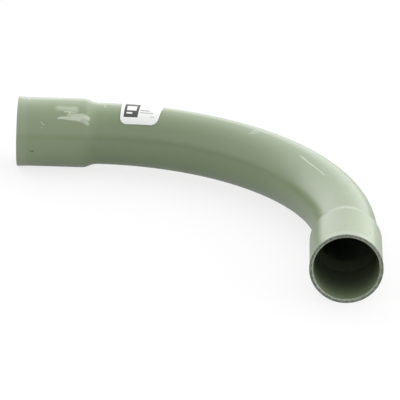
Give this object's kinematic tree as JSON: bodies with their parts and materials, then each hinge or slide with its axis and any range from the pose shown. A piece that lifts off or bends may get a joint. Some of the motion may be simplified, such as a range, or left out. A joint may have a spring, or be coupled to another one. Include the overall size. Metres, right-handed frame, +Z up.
{
  "type": "conduit elbow",
  "caption": "Grey PVC conduit elbow, a right-angle bend with a belled socket on each end and a white label on the bend.",
  "frame": {"origin": "on the floor under the middle of the elbow's box, with the elbow lying flat on its bells", "axes": "+Z up, square to the plane of the bend; one socket opens to -X and the other to -Y"},
  "size_m": [0.3557, 0.3557, 0.0689],
  "materials": {
    "pvc": "satin grey-green PVC, scuffed from handling",
    "label_film": "matt white adhesive label with plain printed shapes"
  },
  "bodies": {
    "root": {"elbow": "pvc", "label": "label_film"}
  },
  "joints": []
}
